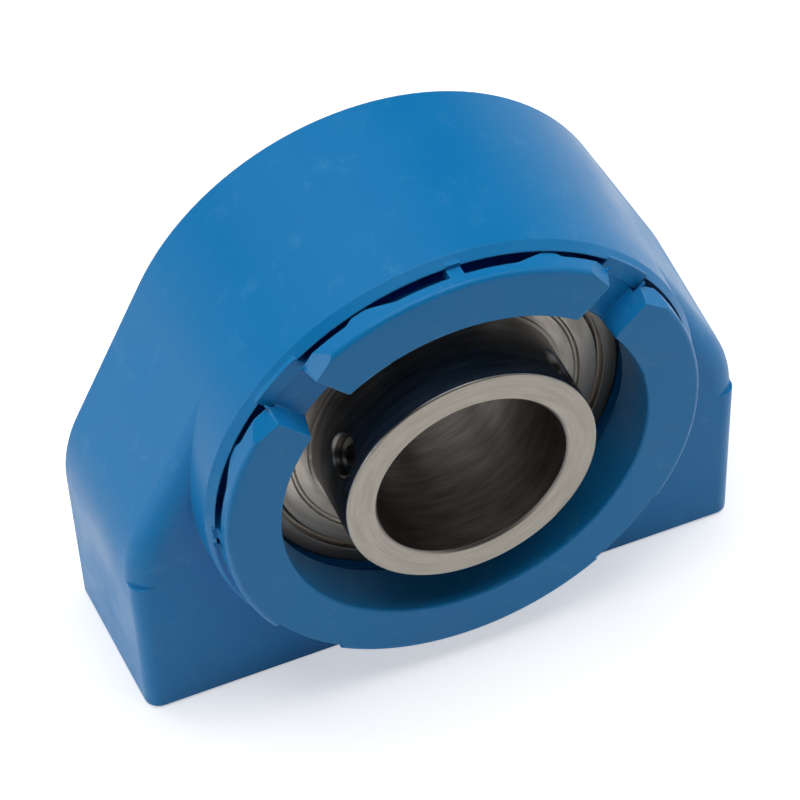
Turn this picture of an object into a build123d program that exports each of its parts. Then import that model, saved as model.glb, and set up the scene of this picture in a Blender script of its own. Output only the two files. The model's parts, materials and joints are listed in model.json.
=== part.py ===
"""Pillow block bearing: moulded housing with a tapped solid base and a 30 mm set-screw insert bearing.

Units are millimetres, Z is up. The origin is on the base's underside, straight below the centre of
the spherical seat. The shaft runs along Y, and the snap ring and the set screws face -Y.
"""
import os
from math import cos, radians, sin, sqrt, tan

from build123d import *

# Housing, outside
BASE_LENGTH = 101.9          # along X, measured at the back face
BASE_BELOW_HUB = 4.0         # hub's lowest point to the base
BACK_Y = 17.3                # back face of the block
FACE_Y = -10.35              # front face of the block
SLANT_ANGLE = 28.0           # rise of the slanted flank's outward normal above X
SHOULDER_R = 26.0            # bend between the upright side and the slanted flank
DRAFT = 2.9                  # mould draft of the whole outer skin, narrowing to the front
EDGE_STEP = 1.0              # the front edge gets rounder this far above the start of the shoulder bend
FRONT_EDGE_LOWER_R = 2.5
FRONT_EDGE_UPPER_R = 3.9
BACK_EDGE_R = 0.6
FOOT_BEVEL = 0.5
TRIM = 6.0                   # spare height below the base, cut off flat

# Housing, front hub and the snap ring that holds an end cover
HUB_HEIGHT = 6.35            # hub front above the block's face
HUB_BEVEL = 1.5              # height of the bevel round the hub's edge
HUB_RIM = 1.05               # hub wall outside the groove, at the bevel
GROOVE_DEPTH = 4.7           # groove behind the ring's lip
NECK_WALL = 6.25             # ring's wall between the mouth and the groove
LIP_GAP = 1.6                # hub front to the lip's back, where the cover hooks in
LIP_THICKNESS = 2.05
LIP_HEIGHT = 2.35            # lip edge above the ring's neck
LIP_INSET = 0.3              # lip edge inside the groove's outer wall
RING_EDGE_R = 0.8
MOUTH_EDGE_R = 0.45
BREAK_FROM_TOP = 45.0        # the two breaks that let the ring spring
BREAK_HALF_WIDTH = 4.3
BREAK_DRAFT = 10.0
BREAK_STEP = 0.2             # mould line on the floor of each break
BREAK_LINE_INSET = 2.15      # from the groove's outer wall to that line
BREAK_CORNER_R = 1.1
STOP_GAP = 0.7               # hub front to the thicker lip beside each break
CORNER_BEVEL_ALONG = 2.8     # slanted facet on the ring's outer corners at each break
CORNER_BEVEL_IN = 1.7
CORNER_BEVEL_TILT = 19.0
RIB_ANGLES = (0.0, 90.0, 180.0, 270.0)
RIB_HALF_ANGLE = 1.6
CLOSED_FROM_TOP = (93.6, 123.0)  # stretch without a groove, on both sides
NOSES_FROM_TOP = (22.4, 65.0)  # bumps behind the lip that centre the cover, on both sides
NOSE_TIP = 2.0
NOSE_SLOPE = 4.4             # long slope, away from the break
NOSE_STEP = 1.2              # short slope, towards the break
FLAT_FROM_BOTTOM = 45.8      # shallow reliefs in the lower lip, on both sides
FLAT_HALF_ANGLE = 11.2
FLAT_DEPTH = 1.0
MERGE = 0.5                  # how far joined features reach into each other

# Insert bearing
BORE_R = 15.0
RACE_WALL = 3.1375           # bore to inner raceway, and outer raceway to spherical back
INNER_FRONT_REACH = 13.2     # inner ring past the outer ring's face, set-screw side
INNER_BACK_REACH = 6.9
BALL_D = 9.525
BALL_COUNT = 9
BALL_GAP = 0.1               # play between a ball and each raceway
RACEWAY_FACTOR = 0.52        # groove radius as a share of the ball diameter
INNER_SHOULDER = 3.15        # inner ring's land inside the pitch circle
OUTER_SHOULDER = 2.9         # outer ring's land outside the pitch circle
OUTER_BEVEL = 0.5
SEAL_STEP = 1.2              # shield recess outside the outer ring's land
SEAL_RECESS_DEPTH = 2.25     # recess floor behind the outer ring's face
SEAL_ROOM = 0.6875           # cage's closed side to the recess floor
INNER_EDGE_R = 0.45
BORE_BEVEL = 0.4

# Housing, seat
SEAT_CLEARANCE = 0.1         # the bearing swivels in the seat
SEAT_LAP = 2.05              # how far the seat's edge closes in over the bearing
RELIEF_STEP = 0.5            # moulding relief beside the outer ring's front face
RELIEF_BEHIND = 0.8
RELIEF_AHEAD = 2.6
LOADING_CLEARANCE = 0.3      # the bearing enters sideways through slots at the back
BACK_BORE_STEP = 0.6         # counterbore for the rear seal, outside the bearing

# Threaded base inserts
BOLT_INSET = 12.85           # bolt centre inside each end of the base
THREAD_HOLE_R = 5.0
THREAD_LENGTH = 15.0
THREAD_BEVEL = 0.4
INSERT_WALL = 2.0
INSERT_WAIST = 0.7
INSERT_FLOOR = 1.0

# Cage
CAGE_THICKNESS = 3.5
CAGE_RIM = 1.3               # closed side behind the balls
CAGE_CLAW = 2.6              # claw tips past the ball centres
CAGE_PLAY = 0.2
CLAW_GAP = 2.6
CLAW_GAP_DEPTH = 3.4

# Shields and their rubber lips
SHIELD_THICKNESS = 0.4
SHIELD_EDGE_GAP = 2.0        # steel's inner edge above the inner ring
SHIELD_CURL = 0.85
RUBBER_COVER = 0.18          # rubber over each face of the steel
RUBBER_WIDTH = 2.8
RUBBER_GAP = 0.08            # running clearance on the inner ring
RUBBER_TAPER = 0.25

# Flingers
FLINGER_THICKNESS = 0.4
FLINGER_GAP = 0.37           # clear of the shield's rubber
FLINGER_EDGE_GAP = 0.7       # clear of the outer ring's recess
FLINGER_COLLAR = 0.55
FLINGER_COLLAR_RISE = 1.25
FLINGER_INNER_BAND = 2.65    # from the inner ring to the pressed groove
FLINGER_INNER_RISE = 0.3
FLINGER_OUTER_RISE = 0.5
FLINGER_SLOPE = 0.3

# Set screws
SCREW_ANGLES = {"left": 155.5, "right": 35.5}
SCREW_FROM_FACE = 5.0        # screw centre behind the inner ring's front face
SCREW_HOLE_R = 3.0
SCREW_MOUTH_BEVEL = 0.45
SCREW_CLEARANCE = 0.05
SCREW_LENGTH = 3.1
SCREW_BEVEL = 0.3
SCREW_TIP_GAP = 0.25         # tip stands clear of the shaft's surface
SOCKET_ACROSS_FLATS = 3.0
SOCKET_DEPTH = 1.7
CUP_R = 1.5
CUP_DEPTH = 0.6

# Rear seal
SEAL_INSET = 0.8             # seal rim below the housing's back face
SEAL_HEIGHT = 3.0
SEAL_RIM_WIDTH = 2.0
SEAL_WEB_THICKNESS = 2.0
SEAL_LIP_THICKNESS = 0.8
SEAL_LIP_LENGTH = 2.5
SEAL_LIP_GAP = 1.05          # room for the bearing to swivel

# Worked out from the sizes above
HALF_RING = BALL_D / 2 + CAGE_RIM + SEAL_ROOM + SEAL_RECESS_DEPTH
INNER_FRONT = HALF_RING + INNER_FRONT_REACH
INNER_BACK = HALF_RING + INNER_BACK_REACH
PITCH_R = BORE_R + RACE_WALL + BALL_GAP + BALL_D / 2
OUTER_SPHERE_R = PITCH_R + BALL_D / 2 + BALL_GAP + RACE_WALL
INNER_R = PITCH_R - INNER_SHOULDER
OUTER_LAND_R = PITCH_R + OUTER_SHOULDER
RECESS_R = OUTER_LAND_R + SEAL_STEP
RECESS_Y = HALF_RING - SEAL_RECESS_DEPTH
RUBBER_TOP_Y = RECESS_Y + SHIELD_THICKNESS + RUBBER_COVER
RACEWAY_R = RACEWAY_FACTOR * BALL_D
MOUTH_R = OUTER_SPHERE_R - SEAT_LAP
HUB_FRONT_Y = FACE_Y - HUB_HEIGHT
HUB_EDGE_Y = HUB_FRONT_Y + HUB_BEVEL
GROOVE_FLOOR_Y = HUB_FRONT_Y + GROOVE_DEPTH
LIP_BACK_Y = HUB_FRONT_Y - LIP_GAP
RING_FACE_Y = LIP_BACK_Y - LIP_THICKNESS
NECK_R = MOUTH_R + NECK_WALL
LIP_R = NECK_R + LIP_HEIGHT
GROOVE_R = LIP_R + LIP_INSET
DOME_R = GROOVE_R + HUB_RIM + tan(radians(DRAFT)) * (BACK_Y - HUB_EDGE_Y)
SHAFT_HEIGHT = GROOVE_R + HUB_RIM + BASE_BELOW_HUB
RISE = radians(SLANT_ANGLE)
BEND_X = BASE_LENGTH / 2 - SHOULDER_R
BEND_Z = (DOME_R - SHOULDER_R - BEND_X * cos(RISE)) / sin(RISE)
BREAK_FLOOR_Y = HUB_FRONT_Y + BREAK_STEP
STOP_Y = HUB_FRONT_Y - STOP_GAP
BACK_BORE_R = OUTER_SPHERE_R + BACK_BORE_STEP
BACK_BORE_Y = BACK_Y - SEAL_INSET - SEAL_HEIGHT
BOLT_SPACING = BASE_LENGTH - 2 * BOLT_INSET
INSERT_R = THREAD_HOLE_R + INSERT_WALL
INSERT_HEIGHT = THREAD_LENGTH + INSERT_FLOOR

SHAFT = Location((0, 0, SHAFT_HEIGHT))
PARTS = "parts"


def save(shape, name):
    """Write one finished solid to its own file."""
    shape.label = name
    export_step(shape, os.path.join(PARTS, name + ".step"))


def turned(points, rounds=()):
    """Revolve a closed outline of (radius, y) points about Y; rounds holds (point index, radius) pairs."""
    face = make_face(Polyline(*points, close=True))
    for index, radius in rounds:
        corner = Vector(*points[index])
        vertex = min(face.vertices(), key=lambda v: (Vector(v.X, v.Y) - corner).length)
        face = fillet(vertex, radius)
    return revolve(face, Axis.Y)


def turned_on(side, points):
    """The same outline turned for the front (-1) or the back (+1) of the bearing."""
    return turned([(r, side * y) for r, y in points])


def band(r_inner, r_outer, y_start, y_end):
    """A plain ring between two radii and two stations along Y."""
    return turned([(r_inner, y_start), (r_outer, y_start), (r_outer, y_end), (r_inner, y_end)])


def rod(radius, y_start, y_end):
    """A plain cylinder along Y."""
    return band(0, radius, y_start, y_end)


def outward(angle):
    """Unit vector away from the shaft at an angle from X."""
    return Vector(cos(radians(angle)), 0, sin(radians(angle)))


def around(angle):
    """Unit vector round the shaft at an angle from X."""
    return Vector(-sin(radians(angle)), 0, cos(radians(angle)))


def prism(corners, y_start, y_end):
    """Extrude a polygon of points in the shaft's cross-section between two stations along Y."""
    face = make_face(Polyline(*[(p.X, y_start, p.Z) for p in corners], close=True))
    return extrude(face, amount=y_end - y_start, dir=(0, 1, 0))


def sector(centre, half_angle, y_start, y_end):
    """A pie slice about the shaft that reaches past the housing."""
    reach = BASE_LENGTH
    sides = [outward(centre + turn * half_angle) * reach for turn in (-1, 0, 1)]
    return prism([Vector(0, 0, 0)] + sides, y_start, y_end)


def both_sides(from_top):
    """The two angles that lie equally far to each side of the top."""
    return (90 - from_top, 90 + from_top)


def drafted_radius(y):
    """The dome skin's radius at station y, allowing for the mould draft."""
    return DOME_R - tan(radians(DRAFT)) * (BACK_Y - y)


def block_outline():
    """Upright outline of the block at its back face, as shaft-centred (x, z)."""
    half = BASE_LENGTH / 2
    low = -SHAFT_HEIGHT - TRIM

    def bend(angle):
        return (BEND_X + SHOULDER_R * cos(angle), BEND_Z + SHOULDER_R * sin(angle))

    def mirrored(point):
        return (-point[0], point[1])

    dome_start = (DOME_R * cos(RISE), DOME_R * sin(RISE))
    right = [
        Line((half, low), bend(0)),
        ThreePointArc(bend(0), bend(RISE / 2), bend(RISE)),
        Line(bend(RISE), dome_start),
    ]
    left = [
        Line(mirrored(dome_start), mirrored(bend(RISE))),
        ThreePointArc(mirrored(bend(RISE)), mirrored(bend(RISE / 2)), mirrored(bend(0))),
        Line(mirrored(bend(0)), (-half, low)),
    ]
    dome = ThreePointArc(dome_start, (0, DOME_R), mirrored(dome_start))
    return make_face(right + [dome] + left + [Line((-half, low), (half, low))])


def block():
    """The drafted block with its rounded front edges and flat base."""
    depth = BACK_Y - FACE_Y
    step_z = BEND_Z + EDGE_STEP
    body = extrude(Plane.XZ.offset(-BACK_Y) * block_outline(), amount=depth, taper=DRAFT)

    def rounded(face, radius, z_low, z_high):
        return fillet([e for e in face.edges() if z_low + MERGE < e.center().Z < z_high - MERGE], radius)

    def slab(z_low, z_high):
        return Location((0, 0, (z_low + z_high) / 2)) * Box(2 * BASE_LENGTH, 4 * depth, z_high - z_low)

    halves = []
    for radius, z_low, z_high in ((FRONT_EDGE_LOWER_R, -SHAFT_HEIGHT, step_z),
                                  (FRONT_EDGE_UPPER_R, step_z, 2 * DOME_R)):
        half = body & slab(z_low, z_high)
        halves.append(rounded(half.faces().sort_by(Axis.Y)[0], radius, z_low, z_high))
    body = halves[0] + halves[1]
    body = rounded(body.faces().sort_by(Axis.Y)[-1], BACK_EDGE_R, -SHAFT_HEIGHT, 2 * DOME_R)
    return chamfer(body.faces().sort_by(Axis.Z)[0].edges(), FOOT_BEVEL)


def nose(angle, turn):
    """Bump behind the lip, with its long slope away from the break that lies in the turn's direction."""
    plane = Plane(origin=(0, 0, 0), x_dir=around(angle), z_dir=outward(angle))
    half = NOSE_TIP / 2
    y_base = LIP_BACK_Y - MERGE
    corners = [around(angle) * turn * x + Vector(0, y, 0)
               for x, y in ((-half - NOSE_SLOPE, LIP_BACK_Y), (-half, HUB_FRONT_Y), (half, HUB_FRONT_Y),
                            (half + NOSE_STEP, STOP_Y), (half + NOSE_STEP, y_base),
                            (-half - NOSE_SLOPE, y_base))]
    bump = extrude(make_face(Polyline(*corners, close=True)), amount=GROOVE_R, dir=plane.z_dir)
    return bump & band(NECK_R - MERGE, LIP_R, y_base, HUB_FRONT_Y)


def snap_ring():
    """Springy ring on the hub's front for the hooks of an end cover."""
    root_y = GROOVE_FLOOR_Y + MERGE
    ring = turned([(MOUTH_R, root_y), (NECK_R, root_y), (NECK_R, LIP_BACK_Y), (LIP_R, LIP_BACK_Y),
                   (LIP_R, RING_FACE_Y), (MOUTH_R, RING_FACE_Y)],
                  rounds=[(4, RING_EDGE_R), (5, MOUTH_EDGE_R)])
    for angle in both_sides(180 - FLAT_FROM_BOTTOM):
        cut = band(LIP_R - FLAT_DEPTH, GROOVE_R, RING_FACE_Y - MERGE, LIP_BACK_Y + MERGE)
        ring -= cut & sector(angle, FLAT_HALF_ANGLE, RING_FACE_Y - MERGE, LIP_BACK_Y + MERGE)

    lip_side = band(NECK_R - MERGE, LIP_R, LIP_BACK_Y - MERGE, HUB_FRONT_Y)
    groove_side = band(NECK_R - MERGE, GROOVE_R + MERGE, HUB_FRONT_Y, root_y)
    webs = [(angle, RIB_HALF_ANGLE) for angle in RIB_ANGLES]
    webs += [(angle, (CLOSED_FROM_TOP[1] - CLOSED_FROM_TOP[0]) / 2)
             for angle in both_sides(sum(CLOSED_FROM_TOP) / 2)]
    for angle, half_angle in webs:
        ring += (lip_side + groove_side) & sector(angle, half_angle, LIP_BACK_Y - MERGE, root_y)

    for from_top in NOSES_FROM_TOP:
        to_break = BREAK_FROM_TOP - from_top
        stop_side = band(NECK_R - MERGE, LIP_R, LIP_BACK_Y - MERGE, STOP_Y)
        for angle in both_sides(from_top + to_break / 2):
            ring += stop_side & sector(angle, abs(to_break) / 2, LIP_BACK_Y - MERGE, STOP_Y)
        for angle, side in zip(both_sides(from_top), (-1, 1)):
            ring += nose(angle, side if to_break > 0 else -side)
    for angle in both_sides(BREAK_FROM_TOP):
        ring = ring - ring_break(angle) + break_floor(angle)
    return ring


def across_break(angle, half_width, r_outer, y):
    """Cross-section of a parallel slot from the shaft's axis out to a radius, at station y."""
    out = outward(angle) * r_outer
    side = around(angle) * half_width
    return make_face(Polyline(*[(p.X, y, p.Z) for p in (-side, out - side, out + side, side)], close=True))


def ring_break(angle):
    """Cut for one break in the snap ring, drafted, with round inner corners and slanted outer ones."""
    y_start = RING_FACE_Y - MERGE
    depth = BREAK_FLOOR_Y - y_start
    slot = across_break(angle, BREAK_HALF_WIDTH, 2 * LIP_R, y_start)
    slot += Plane.XZ.offset(-y_start) * Circle(MOUTH_R)
    corners = [v for v in slot.vertices() if MOUTH_R - MERGE < Vector(v.X, 0, v.Z).length < MOUTH_R + MERGE]
    slot = fillet(corners, BREAK_CORNER_R)
    cut = extrude(slot, amount=depth, dir=(0, 1, 0), taper=BREAK_DRAFT)

    edge_cut = turned([(0, BREAK_FLOOR_Y - MERGE), (MOUTH_R + MOUTH_EDGE_R + MERGE, BREAK_FLOOR_Y - MERGE),
                       (MOUTH_R, BREAK_FLOOR_Y + MOUTH_EDGE_R), (0, BREAK_FLOOR_Y + MOUTH_EDGE_R)])
    floor_width = BREAK_HALF_WIDTH - depth * tan(radians(BREAK_DRAFT))
    floor = across_break(angle, floor_width, GROOVE_R, y_start)
    cut += edge_cut & extrude(floor, amount=2 * depth, dir=(0, 1, 0))

    out = outward(angle)
    face_r = LIP_R - RING_EDGE_R
    reach = sqrt(LIP_R ** 2 - BREAK_HALF_WIDTH ** 2)
    far = BREAK_HALF_WIDTH + CORNER_BEVEL_ALONG
    tilt = radians(CORNER_BEVEL_TILT)
    slant = Vector(out.X * sin(tilt), cos(tilt), out.Z * sin(tilt))
    for side in (-1, 1):
        over = around(angle) * side
        near_corner = out * (reach - CORNER_BEVEL_IN) + over * BREAK_HALF_WIDTH
        far_corner = out * sqrt(face_r ** 2 - far ** 2) + over * far
        beyond = far_corner * 2 - near_corner
        corners = [near_corner - over * MERGE, near_corner, beyond, beyond + out * CORNER_BEVEL_IN,
                   near_corner + out * 2 * CORNER_BEVEL_IN - over * MERGE]
        face = make_face(Polyline(*[(p.X, RING_FACE_Y, p.Z) for p in corners], close=True))
        cut += extrude(face, amount=depth, dir=tuple(slant)) & band(0, 2 * LIP_R, RING_FACE_Y, STOP_Y)
    return cut


def break_floor(angle):
    """Filled groove at a break, with a fine mould line where it meets the ring's root."""
    root_y = GROOVE_FLOOR_Y + MERGE
    fill = band(NECK_R - MERGE, GROOVE_R + MERGE, BREAK_FLOOR_Y, root_y)
    fill += band(GROOVE_R - BREAK_LINE_INSET, GROOVE_R + MERGE, HUB_FRONT_Y, root_y)
    slot = across_break(angle, BREAK_HALF_WIDTH, 2 * LIP_R, HUB_FRONT_Y)
    return fill & extrude(slot, amount=root_y - HUB_FRONT_Y, dir=(0, 1, 0))


def housing():
    """The one-piece moulded housing, shaft-centred."""
    hub = turned([(0, 0), (drafted_radius(0), 0), (drafted_radius(HUB_EDGE_Y), HUB_EDGE_Y),
                  (GROOVE_R, HUB_FRONT_Y), (0, HUB_FRONT_Y)])
    body = block() + hub
    body -= band(0, GROOVE_R, HUB_FRONT_Y - MERGE, GROOVE_FLOOR_Y)
    body += snap_ring()

    seat_r = OUTER_SPHERE_R + SEAT_CLEARANCE
    body -= Sphere(seat_r)
    body -= rod(MOUTH_R, RING_FACE_Y - MERGE, BACK_Y + MERGE)
    body -= rod(seat_r + RELIEF_STEP, -HALF_RING - RELIEF_AHEAD, -HALF_RING + RELIEF_BEHIND)
    body -= rod(BACK_BORE_R, BACK_BORE_Y, BACK_Y + MERGE)
    slot_height = 2 * (HALF_RING + LOADING_CLEARANCE)
    body -= Location((0, BACK_BORE_Y / 2, 0)) * Box(2 * seat_r, BACK_BORE_Y, slot_height)

    for x in (-BOLT_SPACING / 2, BOLT_SPACING / 2):
        body -= Location((x, 0, -SHAFT_HEIGHT)) * insert_blank()
    return body


def insert_blank():
    """Outside form of a threaded insert, standing on z = 0, with a waist that the moulding grips."""
    third = INSERT_HEIGHT / 3
    waist_r = INSERT_R - INSERT_WAIST
    points = [(0, 0), (INSERT_R, 0), (INSERT_R, third), (waist_r, third + INSERT_WAIST),
              (waist_r, 2 * third - INSERT_WAIST), (INSERT_R, 2 * third),
              (INSERT_R, INSERT_HEIGHT), (0, INSERT_HEIGHT)]
    return Rotation(90, 0, 0) * turned(points)


def threaded_insert():
    """Steel insert with a blind threaded hole, open downwards."""
    hole = turned([(0, -MERGE), (THREAD_HOLE_R + THREAD_BEVEL + MERGE, -MERGE), (THREAD_HOLE_R, THREAD_BEVEL),
                   (THREAD_HOLE_R, THREAD_LENGTH), (0, THREAD_LENGTH)])
    return insert_blank() - Rotation(90, 0, 0) * hole


def outer_ring():
    """Outer ring with a spherical back, a deep groove raceway and a recess for each shield."""
    edge_r = sqrt(OUTER_SPHERE_R ** 2 - HALF_RING ** 2)
    ring = Sphere(OUTER_SPHERE_R) - rod(OUTER_LAND_R, -OUTER_SPHERE_R, OUTER_SPHERE_R)
    for side in (-1, 1):
        ring -= turned_on(side, [(0, RECESS_Y), (RECESS_R, RECESS_Y), (RECESS_R, HALF_RING),
                                 (edge_r - OUTER_BEVEL, HALF_RING),
                                 (edge_r + OUTER_BEVEL, HALF_RING - OUTER_BEVEL),
                                 (2 * OUTER_SPHERE_R, HALF_RING - OUTER_BEVEL),
                                 (2 * OUTER_SPHERE_R, OUTER_SPHERE_R), (0, OUTER_SPHERE_R)])
    groove_bottom = PITCH_R + BALL_D / 2 + BALL_GAP
    return ring - Rotation(90, 0, 0) * Torus(groove_bottom - RACEWAY_R, RACEWAY_R)


def screw_place(angle):
    """Location whose Z points out along a set screw's axis."""
    return Plane(origin=(0, SCREW_FROM_FACE - INNER_FRONT, 0), x_dir=(0, 1, 0), z_dir=outward(angle)).location


def inner_ring():
    """Inner ring, extended to the front for the set screws."""
    ring = turned([(BORE_R + BORE_BEVEL, -INNER_FRONT), (INNER_R, -INNER_FRONT), (INNER_R, INNER_BACK),
                   (BORE_R + BORE_BEVEL, INNER_BACK), (BORE_R, INNER_BACK - BORE_BEVEL),
                   (BORE_R, BORE_BEVEL - INNER_FRONT)],
                  rounds=[(1, INNER_EDGE_R), (2, INNER_EDGE_R)])
    groove_bottom = PITCH_R - BALL_D / 2 - BALL_GAP
    ring -= Rotation(90, 0, 0) * Torus(groove_bottom + RACEWAY_R, RACEWAY_R)
    mouth = SCREW_HOLE_R + SCREW_MOUTH_BEVEL
    hole = Location((0, 0, PITCH_R / 2)) * Cylinder(SCREW_HOLE_R, PITCH_R)
    hole += Location((0, 0, INNER_R - SCREW_MOUTH_BEVEL / 2)) * Cone(SCREW_HOLE_R, mouth, SCREW_MOUTH_BEVEL)
    for angle in SCREW_ANGLES.values():
        ring -= screw_place(angle) * hole
    return ring


def set_screw(angle):
    """Set screw with a hexagon socket and a cup point."""
    low = BORE_R + SCREW_TIP_GAP
    body = Cylinder(SCREW_HOLE_R - SCREW_CLEARANCE, SCREW_LENGTH)
    body = chamfer(body.edges().filter_by(GeomType.CIRCLE), SCREW_BEVEL)
    hexagon = RegularPolygon(SOCKET_ACROSS_FLATS / 2, 6, major_radius=False)
    body -= extrude(Plane.XY.offset(SCREW_LENGTH / 2) * hexagon, amount=-SOCKET_DEPTH)
    body -= Location((0, 0, CUP_DEPTH / 2 - SCREW_LENGTH / 2)) * Cone(CUP_R, CUP_R / 6, CUP_DEPTH)
    return screw_place(angle) * Location((0, 0, low + SCREW_LENGTH / 2)) * body


def cage():
    """Moulded snap cage: a closed rim behind the balls and open claws in front of them."""
    rim_y = -BALL_D / 2 - CAGE_RIM
    body = band(PITCH_R - CAGE_THICKNESS / 2, PITCH_R + CAGE_THICKNESS / 2, rim_y, CAGE_CLAW)
    for k in range(BALL_COUNT):
        body -= ball_place(k) * Sphere(BALL_D / 2 + CAGE_PLAY)
        claw_gap = Box(2 * CAGE_THICKNESS, 2 * CLAW_GAP_DEPTH, CLAW_GAP)
        body -= ball_place(k + 0.5) * Location((0, CAGE_CLAW, 0)) * claw_gap
    return body


def ball_place(k):
    """Place on the pitch circle, k ball spacings round from the top, with local X outward."""
    return Rotation(0, -90 - k * 360 / BALL_COUNT, 0) * Location((PITCH_R, 0, 0))


def shield(side):
    """Pressed steel cup held in the outer ring's recess."""
    y_top = RECESS_Y + SHIELD_THICKNESS
    hole_r = INNER_R + SHIELD_EDGE_GAP
    return turned_on(side, [(hole_r, RECESS_Y), (RECESS_R, RECESS_Y), (RECESS_R, RECESS_Y + SHIELD_CURL),
                            (RECESS_R - SHIELD_THICKNESS, RECESS_Y + SHIELD_CURL),
                            (RECESS_R - SHIELD_THICKNESS, y_top), (hole_r, y_top)])


def rubber_lip(side):
    """Rubber lip bonded round the shield's inner edge."""
    r_lip = INNER_R + RUBBER_GAP
    r_taper = r_lip + RUBBER_TAPER
    r_outer = r_lip + RUBBER_WIDTH
    low = RECESS_Y - RUBBER_COVER
    lip = turned_on(side, [(r_lip, low + RUBBER_TAPER), (r_taper, low), (r_outer, low),
                           (r_outer, RUBBER_TOP_Y), (r_taper, RUBBER_TOP_Y),
                           (r_lip, RUBBER_TOP_Y - RUBBER_TAPER)])
    return lip - shield(side)


def flinger(side):
    """Pressed washer on the inner ring that throws water off in front of the shield."""
    back = RUBBER_TOP_Y + FLINGER_GAP
    front = back + FLINGER_THICKNESS
    collar_r = INNER_R + FLINGER_COLLAR
    groove_r = INNER_R + FLINGER_INNER_BAND
    outer_r = RECESS_R - FLINGER_EDGE_GAP
    steps = [(groove_r, FLINGER_INNER_RISE), (groove_r + FLINGER_SLOPE, 0), (groove_r + 2 * FLINGER_SLOPE, 0),
             (groove_r + 3 * FLINGER_SLOPE, FLINGER_OUTER_RISE)]
    face = [(r, front + rise) for r, rise in steps]
    underside = [(r, back + rise) for r, rise in reversed(steps)]
    rim = [(outer_r - FLINGER_SLOPE, front + FLINGER_OUTER_RISE),
           (outer_r, front + FLINGER_OUTER_RISE - FLINGER_SLOPE),
           (outer_r, back + FLINGER_SLOPE), (outer_r - FLINGER_THICKNESS, back + FLINGER_SLOPE),
           (outer_r - FLINGER_THICKNESS, back + FLINGER_OUTER_RISE)]
    collar = [(INNER_R, back + FLINGER_INNER_RISE), (INNER_R, back + FLINGER_COLLAR_RISE),
              (collar_r, back + FLINGER_COLLAR_RISE), (collar_r, front + FLINGER_INNER_RISE)]
    return turned_on(side, collar + face + rim + underside)


def rear_seal():
    """Moulded rubber seal pressed into the back of the housing."""
    rim_y = BACK_BORE_Y + SEAL_HEIGHT
    web_y = BACK_BORE_Y + SEAL_WEB_THICKNESS
    lip_y = BACK_BORE_Y + SEAL_LIP_THICKNESS
    step = SEAL_HEIGHT - SEAL_WEB_THICKNESS
    rim_r = BACK_BORE_R - SEAL_RIM_WIDTH
    lip_r = INNER_R + SEAL_LIP_GAP
    web_r = lip_r + SEAL_LIP_LENGTH
    return turned([(lip_r, BACK_BORE_Y), (BACK_BORE_R, BACK_BORE_Y), (BACK_BORE_R, rim_y), (rim_r, rim_y),
                   (rim_r - step, web_y), (web_r + step, web_y), (web_r, lip_y), (lip_r, lip_y)])


os.makedirs(PARTS, exist_ok=True)

save(SHAFT * housing(), "housing")
for label, sign in (("left", -1), ("right", 1)):
    save(Location((sign * BOLT_SPACING / 2, 0, 0)) * threaded_insert(), "base_insert_" + label)
save(SHAFT * outer_ring(), "outer_ring")
save(SHAFT * inner_ring(), "inner_ring")
save(SHAFT * cage(), "cage")
for index in range(BALL_COUNT):
    save(SHAFT * ball_place(index) * Sphere(BALL_D / 2), "ball_" + str(index + 1))
for label, sign in (("front", -1), ("back", 1)):
    save(SHAFT * shield(sign), "shield_" + label)
    save(SHAFT * rubber_lip(sign), "seal_lip_" + label)
    save(SHAFT * flinger(sign), "flinger_" + label)
for label, screw_angle in SCREW_ANGLES.items():
    save(SHAFT * set_screw(screw_angle), "set_screw_" + label)
save(SHAFT * rear_seal(), "rear_seal")
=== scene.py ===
"""Finishes, thread ridges, studio light and camera for the pillow block bearing."""
import json
import math

import bmesh
import bpy
from mathutils import Matrix, Vector


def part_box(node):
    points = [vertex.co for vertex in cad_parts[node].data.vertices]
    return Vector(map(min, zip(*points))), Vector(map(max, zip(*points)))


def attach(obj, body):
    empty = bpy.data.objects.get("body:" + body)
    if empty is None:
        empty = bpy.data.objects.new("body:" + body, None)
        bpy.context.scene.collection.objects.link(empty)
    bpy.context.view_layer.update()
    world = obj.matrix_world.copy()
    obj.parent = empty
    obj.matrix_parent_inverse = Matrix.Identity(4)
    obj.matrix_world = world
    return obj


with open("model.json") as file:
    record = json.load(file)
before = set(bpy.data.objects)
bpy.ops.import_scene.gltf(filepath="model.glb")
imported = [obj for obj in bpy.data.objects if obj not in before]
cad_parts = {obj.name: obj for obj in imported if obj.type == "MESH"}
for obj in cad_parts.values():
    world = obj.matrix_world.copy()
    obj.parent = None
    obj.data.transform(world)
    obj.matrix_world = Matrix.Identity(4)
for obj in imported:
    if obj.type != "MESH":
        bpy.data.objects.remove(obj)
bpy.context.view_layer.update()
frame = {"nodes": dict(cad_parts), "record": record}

MM = 0.001

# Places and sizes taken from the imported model
MOUNTS = {mount["name"]: mount for mount in frame["record"]["mounts"]}
BORE = MOUNTS["shaft_bore"]
SHAFT_Z = BORE["pos_m"][2]
BORE_R = BORE["dims"]["r_mm"] * MM
INNER_LOW, INNER_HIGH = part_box("inner_ring")
INNER_R = (INNER_HIGH.x - INNER_LOW.x) / 2
JOINTS = {joint["name"]: joint for joint in frame["record"]["behaviour"]["joints"]}

# Set-screw holes, and how strongly painted shade darkens their threads
SCREW_HOLE_R = 3.0 * MM
SCREW_HOLE_SKIN = 0.03 * MM
SCREW_PITCH = 0.75 * MM
THREAD_PAINTED_SHADE = 0.6

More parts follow.
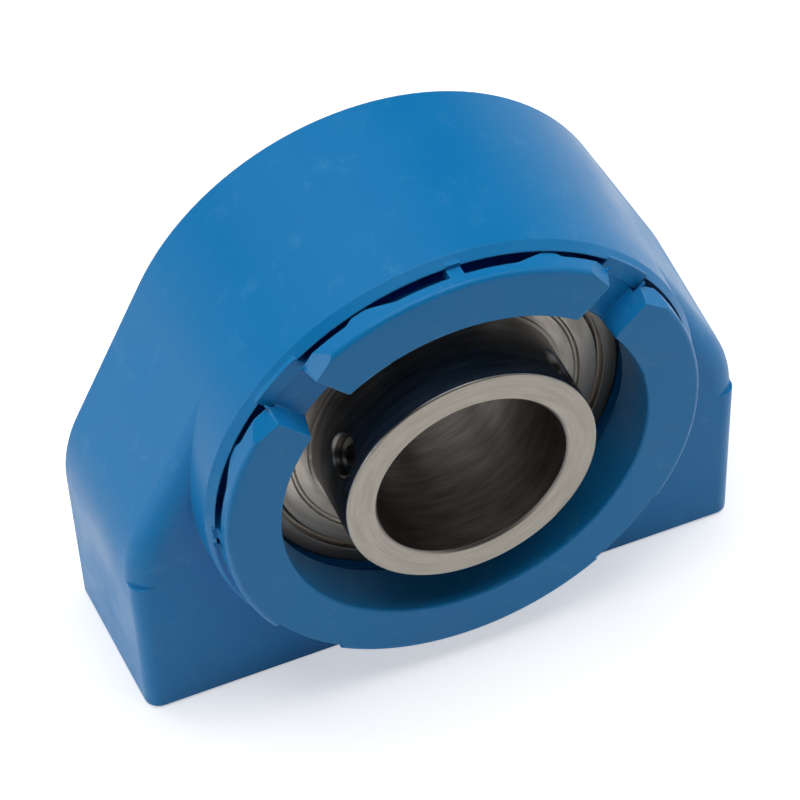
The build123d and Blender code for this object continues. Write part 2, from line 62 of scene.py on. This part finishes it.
# Where the inner ring's painted darkening starts and ends, measured from the bore and from the ring's
# outside: painted shade in the bore, a painted dark reflection round the outside
BORE_PAINTED_SHADE_FULL = 0.1 * MM
BORE_PAINTED_SHADE_END = 0.3 * MM
OUTSIDE_PAINTED_REFLECTION_START = 0.2 * MM
OUTSIDE_PAINTED_REFLECTION_FULL = 0.04 * MM
RING_SKIN = 0.2 * MM

# Threads of the base inserts
INSERT_THREAD_LENGTH = 14.0 * MM
INSERT_PITCH = 1.5 * MM
INSERT_RIDGE = 0.75 * MM
RIDGE_HALF_WIDTH = 0.69 * MM
RIDGE_SINK = 0.02 * MM
RIDGE_STEPS = 32

# Real sizes of the surface patterns; the grinding marks are finer, and are drawn coarse enough to show
FLOW_CLOUD = 14 * MM
MOULD_GRAIN = 0.45 * MM
SCUFF = 5 * MM
MOULDED_EDGE = 0.22 * MM
GRINDING_MARK = 0.3 * MM
GRINDING_BAND = 1.4 * MM
PRESSED_MARK = 0.1 * MM
PRESSED_RING = 1.5 * MM
METAL_EDGE = 0.12 * MM
MARK_LENGTH = 9 * MM
METAL_TOOTH = 0.6 * MM
RUBBER_TOOTH = 0.3 * MM
POLYAMIDE_CLOUD = 5 * MM

# The stretch that most of a noise's values lie in
NOISE_LOW = 0.35
NOISE_HIGH = 0.65

# The photograph's camera, solved from the object's own edges
CAMERA_AZIMUTH = -20.89
CAMERA_ELEVATION = 46.73
CAMERA_ROLL = -2.72
CAMERA_DISTANCE = 472.7 * MM
CAMERA_AIM = Vector((-2.34, -0.05, 39.01)) * MM
CAMERA_LENS = 141.68
SENSOR = 36.0

# Table, and the heights on the sky, as sines of the elevation, between which the pale sweep fades out
TABLE_SIZE = 8.0
TABLE_GLOW = 0.5
SWEEP_FULL = 0.25
SWEEP_END = 0.4

# Soft boxes: azimuth and elevation in degrees, size in metres, watts
LAMP_DISTANCE = 1.0
LAMPS = {
    "soft_box_overhead": (0, 90, 0.8, 6.7),
    "strip_left": (270, 12, 0.4, 2.4),
    "box_right": (90, 45, 0.6, 1.5),
    "box_back_left": (225, 45, 0.6, 1.0),
    "strip_right": (90, 12, 0.4, 0.9),
    "strip_front_right": (45, 12, 0.4, 0.5),
    "box_behind": (180, 45, 0.6, 0.5),
}


def linear(code):
    """Turn an sRGB hex colour into the linear colour that the shaders use."""
    channels = [int(code[i:i + 2], 16) / 255 for i in (1, 3, 5)]
    curve = [c / 12.92 if c <= 0.04045 else ((c + 0.055) / 1.055) ** 2.4 for c in channels]
    return (*curve, 1.0)


def add(tree, kind, sockets=None, **settings):
    """Add one shader node; sockets gives each input a value or another node's output."""
    made = tree.nodes.new(kind)
    for name, value in settings.items():
        setattr(made, name, value)
    for name, value in (sockets or {}).items():
        if isinstance(value, bpy.types.NodeSocket):
            tree.links.new(value, made.inputs[name])
        else:
            made.inputs[name].default_value = value
    return made


def start_material(name):
    """A new material with an empty surface shader, its tree and its shader."""
    material = bpy.data.materials.new(name)
    material.use_nodes = True
    tree = material.node_tree
    return material, tree, tree.nodes["Principled BSDF"]


def moulded_pbt():
    """Blue polybutylene terephthalate, injection moulded in a polished tool. Its satin skin has a very fine
    grain, slow waves from shrinkage and faint flow clouds, so highlights are broad and uneven. Its sharp
    moulded edges are painted paler, a painted highlight along each edge with a little wear, and handling
    leaves faint pale scuffs."""
    material, tree, shader = start_material("moulded_blue_pbt")
    place = add(tree, "ShaderNodeTexCoord").outputs["Object"]
    flow = add(tree, "ShaderNodeTexNoise", {"Vector": place, "Scale": 1 / FLOW_CLOUD, "Detail": 4.0,
                                            "Roughness": 0.6})
    colour = add(tree, "ShaderNodeMix", {"Factor": flow.outputs["Fac"], 6: linear("#0D7EC0"),
                                         7: linear("#1383C4")}, data_type="RGBA")
    edges = add(tree, "ShaderNodeBevel", {"Radius": MOULDED_EDGE}, samples=8)
    straight = add(tree, "ShaderNodeNewGeometry").outputs["Normal"]
    match = add(tree, "ShaderNodeVectorMath", {0: edges.outputs["Normal"], 1: straight},
                operation="DOT_PRODUCT")
    # Painted highlight, with a little wear: every sharp moulded edge is lightened to pale blue, standing for
    # the glint along it
    edge_highlight_and_wear = add(tree, "ShaderNodeMapRange", {"Value": match.outputs["Value"], "From Min": 0.99,
                                              "From Max": 0.8, "To Min": 0.0, "To Max": 0.6})
    colour = add(tree, "ShaderNodeMix", {"Factor": edge_highlight_and_wear.outputs[0], 6: colour.outputs[2],
                                         7: linear("#56A9DC")}, data_type="RGBA")
    handling = add(tree, "ShaderNodeTexNoise", {"Vector": place, "Scale": 1 / SCUFF, "Detail": 9.0,
                                                "Roughness": 0.75})
    scuffs = add(tree, "ShaderNodeMapRange", {"Value": handling.outputs["Fac"], "From Min": 0.55,
                                              "From Max": 0.75, "To Min": 0.0, "To Max": 0.5})
    colour = add(tree, "ShaderNodeMix", {"Factor": scuffs.outputs[0], 6: colour.outputs[2],
                                         7: linear("#4C9BD0")}, data_type="RGBA")
    grain = add(tree, "ShaderNodeTexNoise", {"Vector": place, "Scale": 1 / MOULD_GRAIN, "Detail": 3.0,
                                             "Roughness": 0.65})
    skin = add(tree, "ShaderNodeBump", {"Height": grain.outputs["Fac"], "Normal": edges.outputs["Normal"],
                                        "Strength": 0.3, "Distance": 0.05 * MM})
    waves = add(tree, "ShaderNodeBump", {"Height": flow.outputs["Fac"], "Normal": skin.outputs["Normal"],
                                         "Strength": 0.15, "Distance": 0.3 * MM})
    gloss = add(tree, "ShaderNodeMapRange", {"Value": flow.outputs["Fac"], "From Min": NOISE_LOW,
                                             "From Max": NOISE_HIGH, "To Min": 0.3, "To Max": 0.42})
    tree.links.new(colour.outputs[2], shader.inputs["Base Color"])
    tree.links.new(gloss.outputs["Result"], shader.inputs["Roughness"])
    tree.links.new(waves.outputs["Normal"], shader.inputs["Normal"])
    shader.inputs["IOR"].default_value = 1.5
    shader.inputs["Specular IOR Level"].default_value = 0.2
    return material


def ring_coordinates(tree):
    """The angle round the shaft in radians, the distance from it and the station along it in metres."""
    place = add(tree, "ShaderNodeSeparateXYZ", {"Vector": add(tree, "ShaderNodeTexCoord").outputs["Object"]})
    height = add(tree, "ShaderNodeMath", {0: place.outputs["Z"], 1: SHAFT_Z}, operation="SUBTRACT").outputs[0]
    flat = add(tree, "ShaderNodeCombineXYZ", {"X": place.outputs["X"], "Y": height}).outputs[0]
    distance = add(tree, "ShaderNodeVectorMath", {0: flat}, operation="LENGTH").outputs["Value"]
    angle = add(tree, "ShaderNodeMath", {0: height, 1: place.outputs["X"]}, operation="ARCTAN2").outputs[0]
    return angle, distance, place.outputs["Y"]


def sum_of(tree, *terms):
    """Add up (socket, factor) pairs."""
    total = None
    for socket, factor in terms:
        part = add(tree, "ShaderNodeMath", {0: socket, 1: factor}, operation="MULTIPLY").outputs[0]
        total = part if total is None else add(tree, "ShaderNodeMath", {0: total, 1: part}).outputs[0]
    return total


def turning_marks(tree, angle, distance, station, width):
    """Noise drawn out round the shaft, as a tool or a grinding wheel leaves it; width is that of one mark."""
    at = add(tree, "ShaderNodeCombineXYZ", {"X": sum_of(tree, (angle, INNER_R / MARK_LENGTH)),
                                            "Y": sum_of(tree, (distance, 1 / width)),
                                            "Z": sum_of(tree, (station, 1 / width))})
    noise = add(tree, "ShaderNodeTexNoise", {"Vector": at.outputs[0], "Scale": 1.0, "Detail": 3.0})
    return noise.outputs["Fac"]


def screw_threads(tree, side):
    """Height of the thread's ridges inside one set-screw hole, and 1 inside the hole, 0 outside it."""
    axis = Vector(JOINTS["set_screw_%s_travel" % side]["axis"])
    low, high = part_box("set_screw_" + side)
    across = axis.cross(Vector((0, 1, 0)))
    place = add(tree, "ShaderNodeTexCoord").outputs["Object"]
    centre = Vector((0, (low.y + high.y) / 2, SHAFT_Z))
    away = add(tree, "ShaderNodeVectorMath", {0: place, 1: centre}, operation="SUBTRACT").outputs[0]
    parts = [add(tree, "ShaderNodeVectorMath", {0: away, 1: way}, operation="DOT_PRODUCT").outputs["Value"]
             for way in (axis, across, Vector((0, 1, 0)))]
    turn = add(tree, "ShaderNodeMath", {0: parts[1], 1: parts[2]}, operation="ARCTAN2").outputs[0]
    phase = sum_of(tree, (parts[0], 2 * math.pi / SCREW_PITCH), (turn, 1.0))
    ridge = add(tree, "ShaderNodeMath", {0: phase}, operation="SINE").outputs[0]
    flat = add(tree, "ShaderNodeCombineXYZ", {"X": parts[1], "Y": parts[2]}).outputs[0]
    wide = add(tree, "ShaderNodeVectorMath", {0: flat}, operation="LENGTH").outputs["Value"]
    inside = add(tree, "ShaderNodeMath", {0: wide, 1: SCREW_HOLE_R + SCREW_HOLE_SKIN},
                 operation="LESS_THAN").outputs[0]
    outwards = add(tree, "ShaderNodeMath", {0: parts[0], 1: 0.0}, operation="GREATER_THAN").outputs[0]
    mask = add(tree, "ShaderNodeMath", {0: inside, 1: outwards}, operation="MULTIPLY").outputs[0]
    return ridge, mask


def ground_steel():
    """Martensitic stainless steel, hardened. The inner ring is painted darker in its bore and round its
    outside: painted shade in the bore, and a painted dark reflection of the dim room round the outside.
    Its end faces are ground bright, with fine marks round the shaft that soften what they mirror, and the
    set-screw holes show the thread's ridges, darkened there by painted shade."""
    material, tree, shader = start_material("ground_stainless_steel")
    angle, distance, station = ring_coordinates(tree)
    marks = turning_marks(tree, angle, distance, station, GRINDING_MARK)
    bands = turning_marks(tree, angle, distance, station, GRINDING_BAND)
    streaks = add(tree, "ShaderNodeMapRange", {"Value": sum_of(tree, (marks, 0.5), (bands, 0.5)),
                                               "From Min": NOISE_LOW, "From Max": NOISE_HIGH}).outputs[0]

    # Painted shade and reflection: the inner ring's bore and outside get a darker base colour, standing for
    # shade in the bore and the dim room mirrored round the outside
    in_bore = add(tree, "ShaderNodeMapRange", {"Value": distance, "From Min": BORE_R + BORE_PAINTED_SHADE_FULL,
                                               "From Max": BORE_R + BORE_PAINTED_SHADE_END, "To Min": 1.0,
                                               "To Max": 0.0})
    outside = add(tree, "ShaderNodeMapRange", {"Value": distance, "From Min": INNER_R - OUTSIDE_PAINTED_REFLECTION_START,
                                               "From Max": INNER_R - OUTSIDE_PAINTED_REFLECTION_FULL})
    painted_darkening = add(tree, "ShaderNodeMath", {0: in_bore.outputs[0], 1: outside.outputs[0]},
               operation="MAXIMUM").outputs[0]
    on_inner_ring = add(tree, "ShaderNodeMath", {0: distance, 1: INNER_R + RING_SKIN},
                        operation="LESS_THAN").outputs[0]
    painted_darkening = add(tree, "ShaderNodeMath", {0: painted_darkening, 1: on_inner_ring}, operation="MULTIPLY").outputs[0]
    height = marks
    for side in ("left", "right"):
        ridge, mask = screw_threads(tree, side)
        tall = sum_of(tree, (ridge, 6.0))
        height = add(tree, "ShaderNodeMix", {"Factor": mask, 2: height, 3: tall}).outputs[0]
        # Painted shade: the steel inside each set-screw hole is darkened
        hole_painted_shade = sum_of(tree, (mask, THREAD_PAINTED_SHADE))
        painted_darkening = add(tree, "ShaderNodeMath", {0: painted_darkening, 1: hole_painted_shade}, operation="MAXIMUM").outputs[0]
    bright = add(tree, "ShaderNodeMix", {"Factor": streaks, 6: linear("#89847B"), 7: linear("#9B968D")},
                 data_type="RGBA")
    # Painted dark reflection round the outside and painted shade in the bore: darker steel colours for these
    # places
    dark = add(tree, "ShaderNodeMix", {"Factor": streaks, 6: linear("#5A5A5D"), 7: linear("#898786")},
               data_type="RGBA")
    bore = add(tree, "ShaderNodeMix", {"Factor": streaks, 6: linear("#5D5956"), 7: linear("#7D7974")},
               data_type="RGBA")
    dark = add(tree, "ShaderNodeMix", {"Factor": in_bore.outputs[0], 6: dark.outputs[2], 7: bore.outputs[2]},
               data_type="RGBA")
    colour = add(tree, "ShaderNodeMix", {"Factor": painted_darkening, 6: bright.outputs[2], 7: dark.outputs[2]},
                 data_type="RGBA")
    gloss = add(tree, "ShaderNodeMapRange", {"Value": painted_darkening, "To Min": 0.34, "To Max": 0.26})
    uneven = sum_of(tree, (gloss.outputs[0], 1.0), (marks, 0.08), (in_bore.outputs[0], 0.08))

    edges = add(tree, "ShaderNodeBevel", {"Radius": METAL_EDGE}, samples=4)
    bump = add(tree, "ShaderNodeBump", {"Height": height, "Normal": edges.outputs["Normal"], "Strength": 0.5,
                                        "Distance": 0.006 * MM})
    tree.links.new(colour.outputs[2], shader.inputs["Base Color"])
    tree.links.new(uneven, shader.inputs["Roughness"])
    tree.links.new(bump.outputs["Normal"], shader.inputs["Normal"])
    shader.inputs["Metallic"].default_value = 1.0
    return material


def pressed_steel():
    """Stainless sheet, pressed and deburred while it spins: warm grey with clear rings round the shaft, some
    lighter and some duller, and a mirror image smeared across them."""
    material, tree, shader = start_material("pressed_stainless_sheet")
    angle, distance, station = ring_coordinates(tree)
    fine = turning_marks(tree, angle, distance, station, PRESSED_MARK)
    rings = turning_marks(tree, angle, distance, station, PRESSED_RING)
    worked = add(tree, "ShaderNodeMapRange", {"Value": rings, "From Min": NOISE_LOW, "From Max": NOISE_HIGH})
    colour = add(tree, "ShaderNodeMix", {"Factor": worked.outputs[0], 6: linear("#8E8880"),
                                         7: linear("#ADA79D")}, data_type="RGBA")
    gloss = add(tree, "ShaderNodeMapRange", {"Value": worked.outputs[0], "To Min": 0.45, "To Max": 0.33})
    height = sum_of(tree, (fine, 1.0), (rings, 4.0))
    edges = add(tree, "ShaderNodeBevel", {"Radius": METAL_EDGE}, samples=4)
    bump = add(tree, "ShaderNodeBump", {"Height": height, "Normal": edges.outputs["Normal"], "Strength": 0.5,
                                        "Distance": 0.012 * MM})
    tree.links.new(colour.outputs[2], shader.inputs["Base Color"])
    tree.links.new(gloss.outputs[0], shader.inputs["Roughness"])
    tree.links.new(bump.outputs["Normal"], shader.inputs["Normal"])
    shader.inputs["Metallic"].default_value = 1.0
    return material


def plain_metal(name, colour, roughness):
    """A metal with a single finish, for pieces that are small or out of sight."""
    material, tree, shader = start_material(name)
    place = add(tree, "ShaderNodeTexCoord").outputs["Object"]
    marks = add(tree, "ShaderNodeTexNoise", {"Vector": place, "Scale": 1 / METAL_TOOTH, "Detail": 3.0})
    gloss = add(tree, "ShaderNodeMapRange", {"Value": marks.outputs["Fac"], "To Min": roughness * 0.8,
                                             "To Max": roughness * 1.2})
    tree.links.new(gloss.outputs["Result"], shader.inputs["Roughness"])
    shader.inputs["Base Color"].default_value = linear(colour)
    shader.inputs["Metallic"].default_value = 1.0
    return material


def nitrile_rubber():
    """Black nitrile rubber, compression moulded: dull, very dark grey with a fine tooth."""
    material, tree, shader = start_material("moulded_nitrile_rubber")
    place = add(tree, "ShaderNodeTexCoord").outputs["Object"]
    tooth = add(tree, "ShaderNodeTexNoise", {"Vector": place, "Scale": 1 / RUBBER_TOOTH, "Detail": 2.0})
    bump = add(tree, "ShaderNodeBump", {"Height": tooth.outputs["Fac"], "Strength": 0.2,
                                        "Distance": 0.03 * MM})
    tree.links.new(bump.outputs["Normal"], shader.inputs["Normal"])
    shader.inputs["Base Color"].default_value = linear("#161616")
    shader.inputs["Roughness"].default_value = 0.6
    return material


def natural_polyamide():
    """Natural polyamide, injection moulded: warm off-white, drawn opaque though the real one is faintly
    see-through.
    """
    material, tree, shader = start_material("moulded_natural_polyamide")
    place = add(tree, "ShaderNodeTexCoord").outputs["Object"]
    cloud = add(tree, "ShaderNodeTexNoise", {"Vector": place, "Scale": 1 / POLYAMIDE_CLOUD, "Detail": 2.0})
    colour = add(tree, "ShaderNodeMix", {"Factor": cloud.outputs["Fac"], 6: linear("#D9CFB8"),
                                         7: linear("#E3DBC6")}, data_type="RGBA")
    tree.links.new(colour.outputs[2], shader.inputs["Base Color"])
    shader.inputs["Roughness"].default_value = 0.45
    return material


def dress(material, *names):
    """Give CAD nodes their finish."""
    for name in names:
        slots = frame["nodes"][name].material_slots
        for slot in slots:
            slot.material = material


def insert_thread(side, material):
    """Ridges of the thread in one base insert: a three-sided section carried up a helix."""
    low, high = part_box("base_insert_" + side)
    centre = (low + high) / 2
    hole_r = MOUNTS["base_bolts"]["dims"]["hole_r_mm"] * MM
    crest = hole_r - INSERT_RIDGE
    turns = int(INSERT_THREAD_LENGTH / INSERT_PITCH)
    root = hole_r + RIDGE_SINK
    section = ((root, -RIDGE_HALF_WIDTH), (crest, 0.0), (root, RIDGE_HALF_WIDTH))
    mesh = bmesh.new()
    rows = []
    for step in range(turns * RIDGE_STEPS + 1):
        angle = 2 * math.pi * step / RIDGE_STEPS
        z = INSERT_PITCH * (0.5 + step / RIDGE_STEPS)
        foot = Vector((centre.x, centre.y, low.z + z))
        outwards = Vector((math.cos(angle), math.sin(angle), 0))
        rows.append([mesh.verts.new(foot + outwards * r + Vector((0, 0, rise))) for r, rise in section])
    for here, there in zip(rows, rows[1:]):
        for i in range(3):
            mesh.faces.new((here[i], here[(i + 1) % 3], there[(i + 1) % 3], there[i]))
    mesh.faces.new(rows[0])
    mesh.faces.new(reversed(rows[-1]))
    bmesh.ops.recalc_face_normals(mesh, faces=mesh.faces)
    data = bpy.data.meshes.new("insert_thread_" + side)
    mesh.to_mesh(data)
    mesh.free()
    piece = bpy.data.objects.new("insert_thread_" + side, data)
    bpy.context.scene.collection.objects.link(piece)
    data.materials.append(material)
    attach(piece, "housing")


def studio():
    """A white table with a pale sweep behind it, in a room with a dark ceiling: a soft box overhead, and
    smaller lamps at the sides and behind. The camera and mirrors see the table and the sweep as white."""
    bpy.ops.mesh.primitive_plane_add(size=TABLE_SIZE)
    floor = bpy.context.object
    floor.name = "studio_floor"
    material, tree, shader = start_material("white_table")
    seen = seen_rays(tree)
    shader.inputs["Base Color"].default_value = linear("#F4F4F4")
    shader.inputs["Roughness"].default_value = 0.8
    shader.inputs["Specular IOR Level"].default_value = 0.0
    shader.inputs["Emission Color"].default_value = (1, 1, 1, 1)
    tree.links.new(sum_of(tree, (seen, TABLE_GLOW)), shader.inputs["Emission Strength"])
    floor.data.materials.append(material)

    world = bpy.data.worlds.new("studio")
    bpy.context.scene.world = world
    world.use_nodes = True
    tree = world.node_tree
    background = tree.nodes["Background"]
    background.inputs["Color"].default_value = (1, 1, 1, 1)
    way = add(tree, "ShaderNodeSeparateXYZ", {"Vector": add(tree, "ShaderNodeTexCoord").outputs["Generated"]})
    sweep = add(tree, "ShaderNodeMapRange", {"Value": way.outputs["Z"], "From Min": SWEEP_FULL,
                                             "From Max": SWEEP_END, "To Min": 1.0, "To Max": 0.0})
    strength = add(tree, "ShaderNodeMath", {0: seen_rays(tree), 1: sweep.outputs[0]}, operation="MULTIPLY")
    tree.links.new(strength.outputs[0], background.inputs["Strength"])

    for name, (azimuth, elevation, size, watts) in LAMPS.items():
        lamp(name, azimuth, elevation, size, watts)


def seen_rays(tree):
    """1 for what the camera sees, straight, mirrored or through glass, and 0 for light that falls on
    things."""
    rays = add(tree, "ShaderNodeLightPath").outputs
    mirrored = add(tree, "ShaderNodeMath", {0: rays["Is Camera Ray"], 1: rays["Is Glossy Ray"]},
                   operation="MAXIMUM")
    return add(tree, "ShaderNodeMath", {0: mirrored.outputs[0], 1: rays["Is Transmission Ray"]},
               operation="MAXIMUM").outputs[0]


def lamp(name, azimuth, elevation, size, watts):
    """A square soft box a metre from the object, that faces it; azimuth 0 is in front, 90 to its right."""
    turn, rise = math.radians(azimuth), math.radians(elevation)
    towards = Vector((math.sin(turn) * math.cos(rise), -math.cos(turn) * math.cos(rise), math.sin(rise)))
    data = bpy.data.lights.new(name, "AREA")
    data.size = size
    data.energy = watts
    piece = bpy.data.objects.new(name, data)
    piece.location = Vector((0, 0, SHAFT_Z)) + towards * LAMP_DISTANCE
    piece.rotation_mode = "QUATERNION"
    piece.rotation_quaternion = (-towards).to_track_quat("-Z", "Y")
    bpy.context.scene.collection.objects.link(piece)


def camera():
    """The photograph's viewpoint."""
    azimuth, elevation, roll = (math.radians(a) for a in (CAMERA_AZIMUTH, CAMERA_ELEVATION, CAMERA_ROLL))
    back = Vector((math.sin(azimuth) * math.cos(elevation), -math.cos(azimuth) * math.cos(elevation),
                   math.sin(elevation)))
    level = Vector((math.cos(azimuth), math.sin(azimuth), 0))
    up = back.cross(level)
    right = level * math.cos(roll) + up * math.sin(roll)
    top = up * math.cos(roll) - level * math.sin(roll)
    data = bpy.data.cameras.new("camera")
    data.lens = CAMERA_LENS
    data.sensor_width = SENSOR
    data.clip_start = 0.01
    piece = bpy.data.objects.new("camera", data)
    piece.matrix_world = Matrix.Translation(CAMERA_AIM + back * CAMERA_DISTANCE) @ Matrix(
        (right, top, back)).transposed().to_4x4()
    bpy.context.scene.collection.objects.link(piece)
    bpy.context.scene.camera = piece


blue = moulded_pbt()
steel = ground_steel()
pressed = pressed_steel()
balls = plain_metal("lapped_ball_steel", "#D6D6D8", 0.05)
screws = plain_metal("stainless_screw_steel", "#8F8C88", 0.3)
inserts = plain_metal("turned_stainless_insert", "#BBB8B2", 0.3)
rubber = nitrile_rubber()
polyamide = natural_polyamide()

dress(blue, "housing")
dress(steel, "inner_ring", "outer_ring")
dress(pressed, "shield_front", "shield_back", "flinger_front", "flinger_back")
dress(balls, *[name for name in frame["nodes"] if name.startswith("ball_")])
dress(screws, "set_screw_left", "set_screw_right")
dress(inserts, "base_insert_left", "base_insert_right")
dress(rubber, "rear_seal", "seal_lip_front", "seal_lip_back")
dress(polyamide, "cage")
for side in ("left", "right"):
    insert_thread(side, inserts)

studio()
camera()
bpy.context.scene.view_settings.view_transform = "Standard"
